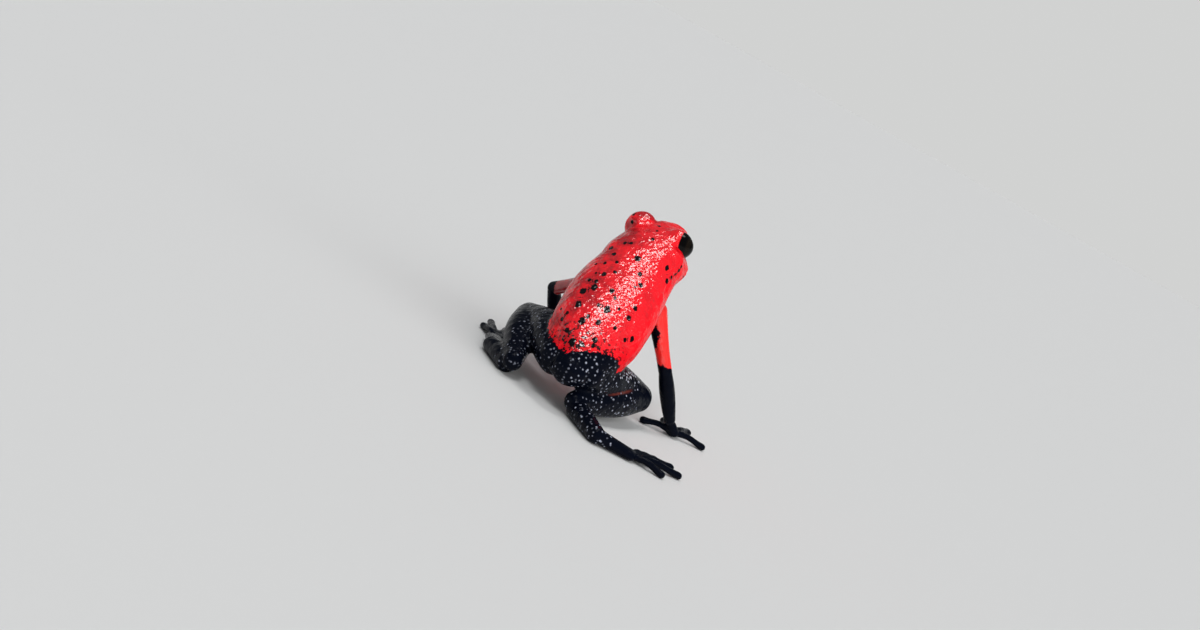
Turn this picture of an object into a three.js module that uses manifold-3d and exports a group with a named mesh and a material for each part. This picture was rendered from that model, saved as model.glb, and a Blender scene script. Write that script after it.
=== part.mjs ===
// Strawberry poison dart frog at life size, sitting up. Millimetres, +Z up, facing -Y, its left is +X.
import * as THREE from "three";
import { mergeVertices } from "three/addons/utils/BufferGeometryUtils.js";
import Module from "manifold-3d";

const wasm = await Module();
wasm.setup();

// Driving dimensions, in millimetres and degrees
const GAP = 0.3; // between neighbouring pieces
const TRUNK_LENGTH = 13.4; // vent to neck
const TRUNK_TURN = { pitch: -37.8, roll: 5.6, yaw: 11.7 };
const VENT = [-1.3, 0, 3.2]; // rear end of the trunk's axis over the floor
const HEAD_LENGTH = 6.6; // neck to snout tip
const HEAD_TURN = { pitch: 8.1, roll: 7.5, yaw: -10.6 };
const NECK = { left: 0.75, rise: 0.3 }; // the head's root, beside the end of the trunk's axis
const NAPE_LEFT = -0.45; // the turned head's nape, beside the head's own middle
const BELLY_SWAY = -0.1; // the belly hangs out to the frog's right
const SHOULDER = { out: 2.7, ahead: 11.4, up: -1.9 }; // in the trunk
const HIP = { out: 1.35, ahead: 1.1, up: -0.6 };
const EYE = { out: 1.92, ahead: 3.25, up: 1, radius: 1.2, opening: 1.1, hidden: 0.2 }; // in the head
// The left lid is drawn further back over its eye
const GAZE = {
  right: { out: 0.87, ahead: 0.45, up: 0.2 },
  left: { out: 0.72, ahead: 0.68, up: -0.05 },
};
const BROW = { out: 1.85, ahead: 3.15, up: 1.02, radius: 1.35 }; // the swelling that holds the eye
const MOUTH = { corner: 1.4, rear: -1.05, front: -0.3, width: 0.16, depth: 0.28 };
const LIP = { height: 0.62, swell: 0.09 };
const NOSTRIL = { along: 0.93, angle: 38, radius: 0.17 };
const EARDRUM = { along: 0.385, angle: 10, radius: 0.5, groove: 0.07 };
const FOOTPRINT_CENTRE = [-0.9, -7.9]; // of the whole frog, seen from above
const REACH = 60; // larger than the frog, for cutting planes

// Half width, height above and height below the axis, at even steps from vent to neck and neck to snout
const TRUNK_GIRTH = [
  [1.5, 1.15, 1.25],
  [2.4, 1.8, 2.0],
  [3.45, 2.4, 2.8],
  [3.95, 2.7, 3.2],
  [3.8, 2.75, 3.1],
  [3.35, 2.6, 2.75],
  [3.0, 2.4, 2.5],
  [3.0, 2.25, 2.4],
];
const HEAD_GIRTH = [
  [3.1, 2.2, 2.4],
  [3.15, 2.2, 2.4],
  [3.2, 2.2, 2.25],
  [3.1, 2.15, 2.05],
  [2.85, 2.05, 1.8],
  [2.4, 1.8, 1.55],
  [1.9, 1.45, 1.3],
  [1.35, 1.05, 0.95],
];

// Half width and half height at even steps along each limb piece
const UPPER_ARM_GIRTH = [[0.95, 0.9], [0.75, 0.72], [0.62, 0.6], [0.56, 0.56]];
const FOREARM_GIRTH = [[0.55, 0.55], [0.68, 0.64], [0.66, 0.6], [0.5, 0.48]];
const THIGH_GIRTH = [[1.5, 1.5], [1.75, 1.7], [1.7, 1.65], [1.45, 1.45], [1.15, 1.2]];
const SHANK_GIRTH = [[1.1, 1.1], [1.35, 1.4], [1.35, 1.4], [1.1, 1.15], [0.8, 0.85]];
const TARSUS_GIRTH = [[0.85, 0.85], [0.8, 0.78], [0.72, 0.68]];
const SOLE_GIRTH = [[0.62, 0.58], [0.68, 0.5], [0.85, 0.42]];
const FINGER_GIRTH = [[0.3, 0.3], [0.27, 0.27], [0.25, 0.25], [0.27, 0.25], [0.42, 0.29]];
const TOE_GIRTH = [[0.32, 0.3], [0.28, 0.28], [0.26, 0.26], [0.27, 0.25], [0.36, 0.29]];
const PALM = { width: 0.75, height: 0.45, length: 0.9 };
const DIGIT_HEIGHT = 0.3; // of a digit's axis over the floor
const DIGIT_SINK = 0.04; // how far a tip is pressed flat
const KNUCKLE_RISE = 0.22;

// Where each limb's joints and digit tips are: thumb-side digit first
const STANCE = {
  right: {
    side: -1,
    elbow: [-5.2, -10.7, 5.0],
    wrist: [-6.9, -12.9, 1.4],
    palm: [-7.3, -13.9, 0.45],
    fingers: [[-5.1, -12.3], [-5.6, -16.4], [-7.5, -17.6], [-9.7, -15.9]],
    thigh: [[-3.2, -6.4, 2.9], [-4.4, -10.1, 2.1]],
    shank: [[-4.7, -9.3, 2.2], [-3.9, -5.0, 1.7], [-3.0, -0.7, 1.2]],
    heel: [-3.5, -0.6, 0.82],
    instep: [-6.7, 2.0, 0.65],
    ball: [-9.2, 0.2, 0.4],
    toes: [[-9.3, -2.2], [-10.1, -3.2], [-11.3, -4.0], [-12.4, -3.2], [-11.9, -0.6]],
  },
  left: {
    side: 1,
    elbow: [7.4, -12.0, 5.6],
    wrist: [5.6, -13.8, 1.5],
    palm: [6.0, -14.6, 0.45],
    fingers: [[4.0, -13.9], [4.8, -17.2], [6.7, -18.2], [8.7, -16.2]],
    thigh: [[3.7, -5.3, 3.7], [6.7, -8.4, 3.1]],
    shank: [[6.5, -7.6, 3.2], [4.8, -3.9, 2.4], [2.9, -0.2, 1.3]],
    heel: [3.4, -0.7, 0.82],
    instep: [6.3, -3.2, 0.65],
    ball: [7.6, -6.3, 0.4],
    toes: [[6.9, -8.6], [7.9, -10.2], [9.2, -11.6], [10.6, -11.2], [10.0, -8.7]],
  },
};

const SKIN = {
  scarlet: new THREE.MeshStandardMaterial({ color: 0xc4100a, roughness: 0.28, metalness: 0 }),
  black: new THREE.MeshStandardMaterial({ color: 0x101218, roughness: 0.35, metalness: 0 }),
  eye: new THREE.MeshStandardMaterial({ color: 0x050506, roughness: 0.08, metalness: 0 }),
};

const vector = (values) => new THREE.Vector3(...values);
const UP = vector([0, 0, 1]);

// The frames that carry the trunk and, on its neck, the head
function turnedFrame(name, turn, position) {
  const frame = new THREE.Group();
  frame.name = name;
  const [pitch, roll, yaw] = [turn.pitch, turn.roll, turn.yaw].map(THREE.MathUtils.degToRad);
  frame.rotation.set(pitch, roll, yaw, "ZXY");
  frame.position.copy(position);
  return frame;
}

const frog = new THREE.Group();
const trunkFrame = turnedFrame("trunk", TRUNK_TURN, vector(VENT));
const headFrame = turnedFrame("neck", HEAD_TURN, vector([NECK.left, -TRUNK_LENGTH, NECK.rise]));
frog.add(trunkFrame);
trunkFrame.add(headFrame);
frog.updateMatrixWorld(true);

// A place in a carried frame, told as the frog's own left, ahead and up
function placeIn(frame, side, { out, ahead, up }) {
  return frame.localToWorld(vector([side * out, -ahead, up]));
}

function directionIn(frame, side, { out, ahead, up }) {
  return vector([side * out, -ahead, up]).transformDirection(frame.matrixWorld);
}

// A closed geometry as a solid, with its double vertices joined and its empty triangles dropped
function toSolid(geometry, matrix = new THREE.Matrix4()) {
  const bare = geometry.clone();
  bare.deleteAttribute("normal");
  bare.deleteAttribute("uv");
  const joined = mergeVertices(bare.applyMatrix4(matrix), 1e-5);
  const corners = [];
  const index = joined.index.array;
  for (let i = 0; i < index.length; i += 3) {
    const [a, b, c] = [index[i], index[i + 1], index[i + 2]];
    if (a !== b && b !== c && c !== a) corners.push(a, b, c);
  }
  const mesh = new wasm.Mesh({
    numProp: 3,
    vertProperties: new Float32Array(joined.attributes.position.array),
    triVerts: new Uint32Array(corners),
  });
  return new wasm.Manifold(mesh);
}

// Only the largest closed body of a solid
function largest(solid) {
  return solid.decompose().reduce((best, piece) => (piece.volume() > best.volume() ? piece : best));
}

// A form swept along a curve by bending a capsule; its girth follows stations at even steps
class Sweep {
  constructor({ path, girth, frame = null, sides = 12, rings = 8, capRings = 2, square = 1, caps = [1, 1] }) {
    this.curve = new THREE.CatmullRomCurve3(path);
    this.girth = new THREE.CatmullRomCurve3(girth.map(([w, above, below = above]) => vector([w, above, below])));
    this.girth.curveType = "catmullrom";
    this.matrix = frame ? frame.matrixWorld : new THREE.Matrix4();
    Object.assign(this, { sides, rings, capRings, square, caps });
  }

  // The point at a share of the length, for a place on the unit section and a reach past the end
  point(share, across, upward, past, grow) {
    const size = this.girth.getPoint(share);
    const ahead = this.curve.getTangentAt(share);
    const aside = ahead.clone().cross(UP).normalize();
    const above = aside.clone().cross(ahead);
    const round = Math.hypot(across, upward);
    const bulge = (value) => (round ? round * Math.sign(value) * Math.abs(value / round) ** this.square : 0);
    const end = past < 0 ? this.caps[0] : this.caps[1];
    const capLength = end * Math.min(size.x, size.y) + grow;
    return this.curve
      .getPointAt(share)
      .addScaledVector(aside, bulge(across) * (size.x + grow))
      .addScaledVector(above, bulge(upward) * ((upward > 0 ? size.y : size.z) + grow))
      .addScaledVector(ahead, past * capLength)
      .applyMatrix4(this.matrix);
  }

  // A point on the skin, the angle counted up from the frog's right (negative side) or left
  skin(share, side, degrees) {
    const angle = THREE.MathUtils.degToRad(degrees);
    return this.point(share, -side * Math.cos(angle), Math.sin(angle), 0, 0);
  }

  solid(grow = 0) {
    const capsule = new THREE.CapsuleGeometry(1, 1, this.capRings, this.sides, this.rings);
    const places = capsule.attributes.position;
    for (let i = 0; i < places.count; i += 1) {
      const length = places.getY(i) + 0.5;
      const share = THREE.MathUtils.clamp(length, 0, 1);
      const moved = this.point(share, places.getX(i), places.getZ(i), length - share, grow);
      places.setXYZ(i, moved.x, moved.y, moved.z);
    }
    return toSolid(capsule);
  }
}

function ball(centre, radius, detail = 16) {
  const sphere = new THREE.SphereGeometry(radius, detail, detail / 2 + 2);
  return toSolid(sphere, new THREE.Matrix4().setPosition(centre));
}

// A long upright cylinder, ring or box turned so that its own +Z points along a direction
function turnedTo(direction, centre) {
  const turn = new THREE.Quaternion().setFromUnitVectors(UP, direction);
  return new THREE.Matrix4().compose(centre, turn, vector([1, 1, 1]));
}

function slab(frame, bottom, top) {
  const box = new THREE.BoxGeometry(REACH, top - bottom, REACH).translate(0, -(bottom + top) / 2, 0);
  return toSolid(box, frame.matrixWorld);
}

const aboveFloor = toSolid(new THREE.BoxGeometry(REACH, REACH, REACH).translate(0, 0, REACH / 2));

// Trunk, parted from the head by a thin cut at the neck
const trunk = new Sweep({
  path: [
    [0, 0, 0],
    [BELLY_SWAY, -TRUNK_LENGTH / 3, 0.1],
    [BELLY_SWAY, (-2 * TRUNK_LENGTH) / 3, 0.15],
    [0, -TRUNK_LENGTH, NECK.rise],
    [0, -TRUNK_LENGTH - 0.5, NECK.rise],
  ].map(vector),
  girth: TRUNK_GIRTH,
  frame: trunkFrame,
  sides: 26,
  rings: 18,
  capRings: 4,
  square: 0.92,
  caps: [1.1, 1],
});
const torsoSolid = trunk.solid().subtract(slab(trunkFrame, TRUNK_LENGTH - GAP / 2, REACH));

// Head: skull and jaws in one sweep, then brows, lips, mouth line, sockets, nostrils and eardrums
const skull = new Sweep({
  path: [
    [NAPE_LEFT, 1.2, 0],
    [NAPE_LEFT, -1.5, 0],
    [0, -4, -0.05],
    [0, -HEAD_LENGTH + 0.7, -0.2],
  ].map(vector),
  girth: HEAD_GIRTH,
  frame: headFrame,
  sides: 26,
  rings: 14,
  capRings: 4,
  square: 0.85,
  caps: [0.5, 0.65],
});

// A level band around the jaws, from the corner of the mouth to past the snout
function jawBand(height, outside, inside) {
  const run = HEAD_LENGTH - MOUTH.corner;
  const tilt = Math.atan2(MOUTH.front - MOUTH.rear, run);
  const plate = new THREE.BoxGeometry(REACH, run * 2, height)
    .translate(0, -run, 0)
    .rotateX(-tilt)
    .translate(0, -MOUTH.corner, MOUTH.rear);
  return toSolid(plate, headFrame.matrixWorld).intersect(skull.solid(outside)).subtract(skull.solid(inside));
}

// The round opening between the lids, from behind the eye's visible part outwards
function lidOpening(side, gap) {
  const centre = placeIn(headFrame, side, EYE);
  const gaze = directionIn(headFrame, side, side > 0 ? GAZE.left : GAZE.right);
  const length = EYE.radius * 2;
  const radius = EYE.opening + gap;
  const opening = new THREE.CylinderGeometry(radius, radius, length, 18)
    .rotateX(Math.PI / 2)
    .translate(0, 0, length / 2 + EYE.radius * EYE.hidden - gap);
  return toSolid(opening, turnedTo(gaze, centre));
}

function makeEye(side) {
  return ball(placeIn(headFrame, side, EYE), EYE.radius, 20).intersect(lidOpening(side, 0));
}

function makeHead() {
  let head = skull.solid();
  for (const side of [1, -1]) {
    head = head.add(ball(placeIn(headFrame, side, BROW), BROW.radius, 18));
  }
  head = head.add(jawBand(LIP.height, LIP.swell, -0.4));
  head = head.subtract(jawBand(MOUTH.width, 1, -MOUTH.depth));
  for (const side of [1, -1]) {
    head = head.subtract(lidOpening(side, GAP));
    head = head.subtract(ball(skull.skin(NOSTRIL.along, side, NOSTRIL.angle), NOSTRIL.radius, 10));
    const ring = new THREE.TorusGeometry(EARDRUM.radius, EARDRUM.groove, 6, 20);
    const outward = directionIn(headFrame, side, { out: 1, ahead: 0, up: 0.15 });
    const centre = skull.skin(EARDRUM.along, side, EARDRUM.angle);
    head = head.subtract(toSolid(ring, turnedTo(outward, centre)));
  }
  return head.subtract(slab(trunkFrame, -REACH, TRUNK_LENGTH + GAP / 2));
}

function digit(root, tip, girth) {
  const start = vector(root).setZ(DIGIT_HEIGHT + 0.1);
  const end = vector([...tip, DIGIT_HEIGHT - DIGIT_SINK]);
  const middle = start.clone().lerp(end, 0.5).setZ(DIGIT_HEIGHT + KNUCKLE_RISE);
  const nearTip = start.clone().lerp(end, 0.85).setZ(DIGIT_HEIGHT + 0.03);
  const path = [start, middle, nearTip, end];
  return new Sweep({ path, girth, sides: 8, rings: 7 }).solid();
}

// Palm or sole with its digits, one closed body
function extremity(pad, root, tips, girth) {
  return tips.reduce((whole, tip) => whole.add(digit(root, tip, girth)), pad);
}

function makeArm(stance) {
  const shoulder = placeIn(trunkFrame, stance.side, SHOULDER);
  const [elbow, wrist, palm] = [stance.elbow, stance.wrist, stance.palm].map(vector);
  const upper = new Sweep({ path: [shoulder, shoulder.clone().lerp(elbow, 0.5), elbow], girth: UPPER_ARM_GIRTH });
  const fore = new Sweep({ path: [elbow, elbow.clone().lerp(wrist, 0.5), wrist], girth: FOREARM_GIRTH });
  const palmPath = [wrist.clone().lerp(palm, 0.55), palm];
  const pad = new Sweep({
    path: palmPath,
    girth: [[0.5, 0.45], [PALM.width, PALM.height]],
    rings: 4,
    caps: [1, PALM.length],
  });
  return {
    upper_arm: upper.solid().subtract(trunk.solid(GAP)),
    forearm: fore.solid().subtract(upper.solid(GAP)),
    hand: extremity(pad.solid(), stance.palm, stance.fingers, FINGER_GIRTH)
      .subtract(fore.solid(GAP))
      .intersect(aboveFloor),
  };
}

function makeLeg(stance) {
  const hip = placeIn(trunkFrame, stance.side, HIP);
  const thigh = new Sweep({ path: [hip, ...stance.thigh.map(vector)], girth: THIGH_GIRTH, sides: 16, rings: 11 });
  const shank = new Sweep({ path: stance.shank.map(vector), girth: SHANK_GIRTH, sides: 16, rings: 11 });
  const [heel, instep, ball] = [stance.heel, stance.instep, stance.ball].map(vector);
  const tarsus = new Sweep({
    path: [heel, heel.clone().lerp(instep, 0.5), instep],
    girth: TARSUS_GIRTH,
    caps: [0.5, 1],
  });
  const pad = new Sweep({ path: [instep, instep.clone().lerp(ball, 0.5), ball], girth: SOLE_GIRTH });
  return {
    thigh: thigh.solid().subtract(trunk.solid(GAP)),
    shank: shank.solid().subtract(thigh.solid(GAP)).subtract(trunk.solid(GAP)),
    tarsus: tarsus.solid().subtract(shank.solid(GAP)).subtract(thigh.solid(GAP)).intersect(aboveFloor),
    foot: extremity(pad.solid(), stance.ball, stance.toes, TOE_GIRTH)
      .subtract(tarsus.solid(GAP))
      .subtract(shank.solid(GAP))
      .intersect(aboveFloor),
  };
}

// Hangs a solid on its frame as a named mesh
function settle(name, solid, frame, material) {
  const { vertProperties, triVerts } = largest(solid).getMesh();
  const geometry = new THREE.BufferGeometry();
  geometry.setAttribute("position", new THREE.BufferAttribute(vertProperties, 3));
  geometry.setIndex(new THREE.BufferAttribute(triVerts, 1));
  geometry.applyMatrix4(frame.matrixWorld.clone().invert());
  geometry.computeVertexNormals();
  const mesh = new THREE.Mesh(geometry, material);
  mesh.name = name;
  frame.add(mesh);
}

settle("torso", torsoSolid, trunkFrame, SKIN.scarlet);
settle("head", makeHead(), headFrame, SKIN.scarlet);
for (const [label, stance] of Object.entries(STANCE)) {
  settle(`eye_${label}`, makeEye(stance.side), headFrame, SKIN.eye);
  for (const [piece, solid] of Object.entries({ ...makeArm(stance), ...makeLeg(stance) })) {
    settle(`${piece}_${label}`, solid, frog, piece === "upper_arm" ? SKIN.scarlet : SKIN.black);
  }
}

// The origin is on the floor, under the middle of the whole frog
frog.position.set(-FOOTPRINT_CENTRE[0], -FOOTPRINT_CENTRE[1], 0);

export default frog;
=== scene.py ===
import logging
import math
import random
from dataclasses import dataclass, field
from enum import Enum
from typing import Any, Iterable, Sequence

import bmesh
import bpy
import numpy as np
from mathutils import Matrix, Vector
from mathutils.bvhtree import BVHTree

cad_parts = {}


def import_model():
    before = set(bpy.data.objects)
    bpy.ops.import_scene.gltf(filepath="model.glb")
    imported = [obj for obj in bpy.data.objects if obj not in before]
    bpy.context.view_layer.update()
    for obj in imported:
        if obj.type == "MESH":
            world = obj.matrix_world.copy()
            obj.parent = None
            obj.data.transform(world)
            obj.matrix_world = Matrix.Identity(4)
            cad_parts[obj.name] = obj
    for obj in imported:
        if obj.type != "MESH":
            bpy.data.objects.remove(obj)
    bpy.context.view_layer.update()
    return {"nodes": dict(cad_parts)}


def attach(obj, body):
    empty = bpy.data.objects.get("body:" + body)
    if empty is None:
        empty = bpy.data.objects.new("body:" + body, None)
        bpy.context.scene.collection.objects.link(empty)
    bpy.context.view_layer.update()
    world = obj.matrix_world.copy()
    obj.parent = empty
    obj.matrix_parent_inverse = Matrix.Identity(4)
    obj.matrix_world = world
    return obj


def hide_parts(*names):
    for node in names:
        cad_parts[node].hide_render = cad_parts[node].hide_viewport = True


log = logging.getLogger("frog")

MM = 0.001
FOOTPRINT_CENTRE = (-0.9, -7.9, 0.0)  # mm from the vent, about which the frog is shaped, to the origin
FAR = 9.0  # mm, further than any border matters
BORDER = 2.0  # mm, as far from a border of the markings as is told

Triple = Sequence[float]
Girths = Sequence[Sequence[float]]


class Side(Enum):
    """The frog's own sides, as the sign of X in its frames."""

    LEFT = 1
    RIGHT = -1

    @property
    def label(self) -> str:
        """The side's word in node names."""
        return self.name.lower()


# Mesh tools


def in_scene(name: str, data: bpy.types.ID | None) -> bpy.types.Object:
    """A new object in the scene, at the origin and unturned."""
    made = bpy.data.objects.new(name, data)
    bpy.context.scene.collection.objects.link(made)
    return made


def read_places(mesh: bpy.types.Mesh) -> np.ndarray:
    """The places of a mesh's vertices.

    Args:
        mesh: the mesh.

    Returns:
        One row of X, Y and Z for each vertex.
    """
    places = np.empty(len(mesh.vertices) * 3, np.float32)
    mesh.vertices.foreach_get("co", places)
    return places.reshape(-1, 3).astype(float)


def read_normals(mesh: bpy.types.Mesh) -> np.ndarray:
    """The normals of a mesh's vertices.

    Args:
        mesh: the mesh.

    Returns:
        One unit row for each vertex.
    """
    normals = np.empty(len(mesh.vertices) * 3, np.float32)
    mesh.vertex_normals.foreach_get("vector", normals)
    return normals.reshape(-1, 3).astype(float)


def write_places(mesh: bpy.types.Mesh, places: np.ndarray) -> None:
    """Moves a mesh's vertices to rows of places."""
    mesh.vertices.foreach_set("co", places.astype(np.float32).ravel())
    mesh.update()


def write_attribute(mesh: bpy.types.Mesh, name: str, values: np.ndarray) -> None:
    """Writes a number or a vector for each vertex.

    Args:
        mesh: the mesh that gets the attribute.
        name: the attribute's name.
        values: one number or one row of three for each vertex.
    """
    vector = values.ndim == 2
    layer = mesh.attributes.new(name, "FLOAT_VECTOR" if vector else "FLOAT", "POINT")
    layer.data.foreach_set("vector" if vector else "value", values.astype(np.float32).ravel())


def ramp(low: float, high: float, values: np.ndarray) -> np.ndarray:
    """A smooth step from 0 at low to 1 at high."""
    part = np.clip((values - low) / (high - low), 0, 1)
    return part * part * (3 - 2 * part)


def hump(middle: float, width: float, values: np.ndarray) -> np.ndarray:
    """A bell that is 1 at the middle."""
    return np.exp(-(((values - middle) / width) ** 2))


# Shape tools


@dataclass(frozen=True)
class Carrier:
    """A turned frame that carries pieces; its X is the frog's left, -Y ahead and Z up."""

    matrix: Matrix

    @classmethod
    def turned(cls, origin: Triple, pitch: float, roll: float, yaw: float,
               parent: "Carrier | None" = None) -> "Carrier":
        """Makes a frame from its origin and its turns.

        Args:
            origin: place of the frame in its parent, mm.
            pitch: turn about X, degrees.
            roll: turn about Y, degrees.
            yaw: turn about Z, degrees, made last.
            parent: the frame that carries this one.

        Returns:
            The carrier.
        """
        turns = [
            Matrix.Rotation(math.radians(angle), 4, axis)
            for angle, axis in ((yaw, "Z"), (pitch, "X"), (roll, "Y"))
        ]
        own = Matrix.Translation(origin) @ turns[0] @ turns[1] @ turns[2]
        return cls(parent.matrix @ own if parent else own)

    def place(self, side: Side, out: float, ahead: float, up: float) -> Vector:
        """A point told as the frog's out, ahead and up, mm."""
        return self.matrix @ Vector((side.value * out, -ahead, up))

    def heading(self, side: Side, out: float, ahead: float, up: float) -> Vector:
        """A unit direction told as the frog's out, ahead and up."""
        return (self.matrix.to_3x3() @ Vector((side.value * out, -ahead, up))).normalized()

    def local(self, points: np.ndarray) -> np.ndarray:
        """World points in this frame's own coordinates."""
        back = np.array(self.matrix.inverted())
        return points @ back[:3, :3].T + back[:3, 3]


class Spline:
    """A smooth curve through knots, held as a dense chain of samples."""

    SAMPLES = 240

    def __init__(self, knots: Iterable[Triple], even: bool = False) -> None:
        """Samples the curve.

        Args:
            knots: the points that it passes, of any dimension.
            even: shares count from knot to knot, as for girths, and not by length.
        """
        places = np.array([tuple(knot) for knot in knots], float)
        last = len(places) - 1
        padded = np.vstack([2 * places[0] - places[1], places, 2 * places[-1] - places[-2]])
        steps = np.linspace(0, last, self.SAMPLES + 1)
        start = np.minimum(steps.astype(int), last - 1)
        weight = (steps - start)[:, None]
        before, first, second, after = (padded[start + shift] for shift in range(4))
        if even:
            slope_in, slope_out = (second - before) / 2, (after - first) / 2
        else:
            gaps = [np.sqrt(np.linalg.norm(b - a, axis=1))[:, None] for a, b in
                    ((before, first), (first, second), (second, after))]
            slope_in = ((first - before) / gaps[0] - (second - before) / (gaps[0] + gaps[1])
                        + (second - first) / gaps[1]) * gaps[1]
            slope_out = ((second - first) / gaps[1] - (after - first) / (gaps[1] + gaps[2])
                         + (after - second) / gaps[2]) * gaps[1]
        rise = second - first
        self.points = (first + weight * slope_in + weight ** 2 * (3 * rise - 2 * slope_in - slope_out)
                       + weight ** 3 * (slope_in + slope_out - 2 * rise))
        travelled = np.concatenate([[0], np.cumsum(np.linalg.norm(np.diff(self.points, axis=0), axis=1))])
        self.length = float(travelled[-1])
        self.share = np.linspace(0, 1, self.SAMPLES + 1) if even else travelled / travelled[-1]
        slope = np.gradient(self.points, self.share, axis=0)
        self.slope = slope / np.maximum(np.linalg.norm(slope, axis=1), 1e-9)[:, None]

    def at(self, share: np.ndarray) -> np.ndarray:
        """Points at shares of the curve."""
        return self._blend(share, self.points)

    def heading(self, share: np.ndarray) -> np.ndarray:
        """Unit tangents at shares of the curve."""
        turn = self._blend(share, self.slope)
        return turn / np.linalg.norm(turn, axis=1)[:, None]

    def _blend(self, share: np.ndarray, values: np.ndarray) -> np.ndarray:
        """Values between samples."""
        return np.stack([np.interp(share, self.share, column) for column in values.T], axis=1)


@dataclass
class Form:
    """A limb-like form: a round section swept along a curve, with rounded ends."""

    CHAIN_STEPS = 61  # places along the axis that points are measured from
    BLOCK = 4000  # points measured at once
    NEAR = 2.0  # mm outside the form, past which points count as far

    path: Sequence[Triple]
    girth: Girths
    carrier: Carrier | None = None
    sides: int = 32
    rings: int = 34
    square: float = 1.0
    caps: tuple[float, float] = (1.0, 1.0)
    cap_share: float = 0.2

    def __post_init__(self) -> None:
        """Samples the axis and the girths: half width, height above and height below."""
        self.axis = Spline(self.path)
        self.sizes = Spline([(g[0], g[1], g[-1]) for g in self.girth], even=True)

    def _section(self, share: np.ndarray) -> tuple[np.ndarray, ...]:
        """The form's section at shares of its length.

        Args:
            share: shares of the length.

        Returns:
            Rows of sizes, and of the directions ahead, aside and above.
        """
        ahead = self.axis.heading(share)
        aside = np.cross(ahead, (0.0, 0.0, 1.0))
        aside /= np.linalg.norm(aside, axis=1)[:, None]
        return self.sizes.at(share), ahead, aside, np.cross(aside, ahead)

    def bent(self, share: np.ndarray, across: np.ndarray, upward: np.ndarray, past: np.ndarray) -> np.ndarray:
        """Places of points of a unit capsule on the form, in world mm.

        Args:
            share: share of the length.
            across: place across the unit section.
            upward: place up the unit section.
            past: reach past an end, -1 to 1.

        Returns:
            One row of X, Y and Z for each point.
        """
        size, ahead, aside, above = self._section(share)
        round_off = np.maximum(np.hypot(across, upward), 1e-9)

        def bulge(value: np.ndarray) -> np.ndarray:
            """The unit circle, squared a little."""
            return round_off * np.sign(value) * np.abs(value / round_off) ** self.square

        height = np.where(upward > 0, size[:, 1], size[:, 2])
        cap = np.where(past < 0, self.caps[0], self.caps[1]) * np.minimum(size[:, 0], size[:, 1])
        places = (self.axis.at(share) + aside * (bulge(across) * size[:, 0])[:, None]
                  + above * (bulge(upward) * height)[:, None] + ahead * (past * cap)[:, None])
        if self.carrier:
            matrix = np.array(self.carrier.matrix)
            places = places @ matrix[:3, :3].T + matrix[:3, 3]
        return places

    def skin_point(self, share: float, side: Side, degrees: float) -> Vector:
        """A point on the form's skin.

        Args:
            share: share of the length.
            side: the frog's side that the angle starts from.
            degrees: angle up from that side.

        Returns:
            The point, in world mm.
        """
        angle = math.radians(degrees)
        values = (share, -side.value * math.cos(angle), math.sin(angle), 0.0)
        return Vector(self.bent(*(np.array([value]) for value in values))[0])

    def add_to(self, whole: bmesh.types.BMesh) -> None:
        """Adds the form's closed shell to a bmesh.

        Args:
            whole: the bmesh that gets it.
        """
        made = bmesh.ops.create_uvsphere(whole, u_segments=self.sides, v_segments=self.rings, radius=1)
        verts = made["verts"]
        unit = np.array([vert.co for vert in verts])
        latitude = np.arccos(np.clip(unit[:, 2], -1, 1)) / math.pi
        share = np.clip((latitude - self.cap_share) / (1 - 2 * self.cap_share), 0, 1)
        in_cap = np.minimum(latitude, 1 - latitude) / self.cap_share
        swing = np.clip(in_cap, 0, 1) * math.pi / 2
        past = np.cos(swing) * np.where(latitude < 0.5, -1, 1)
        turn = np.arctan2(unit[:, 1], unit[:, 0])
        places = self.bent(share, np.sin(swing) * np.cos(turn), np.sin(swing) * np.sin(turn), past)
        for vert, place in zip(verts, places):
            vert.co = place

    def depth(self, points: np.ndarray) -> tuple[np.ndarray, np.ndarray]:
        """How far points are outside the form, and their share of its length.

        Args:
            points: world points, mm.

        Returns:
            Distances outside the skin, below zero inside, and shares of the length.
        """
        outside, share = np.full(len(points), FAR), np.zeros(len(points))
        local = self.carrier.local(points) if self.carrier else points
        reach = self.sizes.points.max() + self.NEAR
        lowest, highest = self.axis.points.min(0) - reach, self.axis.points.max(0) + reach
        near = np.all((local > lowest) & (local < highest), axis=1)
        if not near.any():
            return outside, share
        spots = np.linspace(0, 1, self.CHAIN_STEPS)
        chain = self.axis.at(spots)
        picked = local[near]
        nearest = np.concatenate([
            np.argmin(((block[:, None, :] - chain[None]) ** 2).sum(2), axis=1)
            for block in np.array_split(picked, max(1, len(picked) // self.BLOCK))
        ])
        at = spots[nearest]
        size, ahead, aside, above = self._section(at)
        offset = picked - chain[nearest]
        along = (offset * ahead).sum(1)
        across = (offset * aside).sum(1)
        upward = (offset * above).sum(1)
        at = np.clip(at + along / self.axis.length, 0, 1)
        height = np.where(upward > 0, size[:, 1], size[:, 2])
        past = np.where((nearest == 0) | (nearest == len(spots) - 1), along, 0)
        cap = np.where(past < 0, self.caps[0], self.caps[1]) * np.minimum(size[:, 0], size[:, 1])
        ratio = np.sqrt((across / size[:, 0]) ** 2 + (upward / height) ** 2 + (past / cap) ** 2)
        outside[near] = (ratio - 1) * np.minimum(size[:, 0], height)
        share[near] = at
        return outside, share


@dataclass
class Ball:
    """A round swelling."""

    centre: Vector
    radius: float

    def add_to(self, whole: bmesh.types.BMesh) -> None:
        """Adds the ball's shell to a bmesh."""
        place = Matrix.Translation(self.centre)
        bmesh.ops.create_icosphere(whole, subdivisions=4, radius=self.radius, matrix=place)

    def depth(self, points: np.ndarray) -> tuple[np.ndarray, np.ndarray]:
        """How far points are outside the ball, and a share of nought."""
        return np.linalg.norm(points - np.array(self.centre), axis=1) - self.radius, np.zeros(len(points))


# The frog's parts


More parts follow.
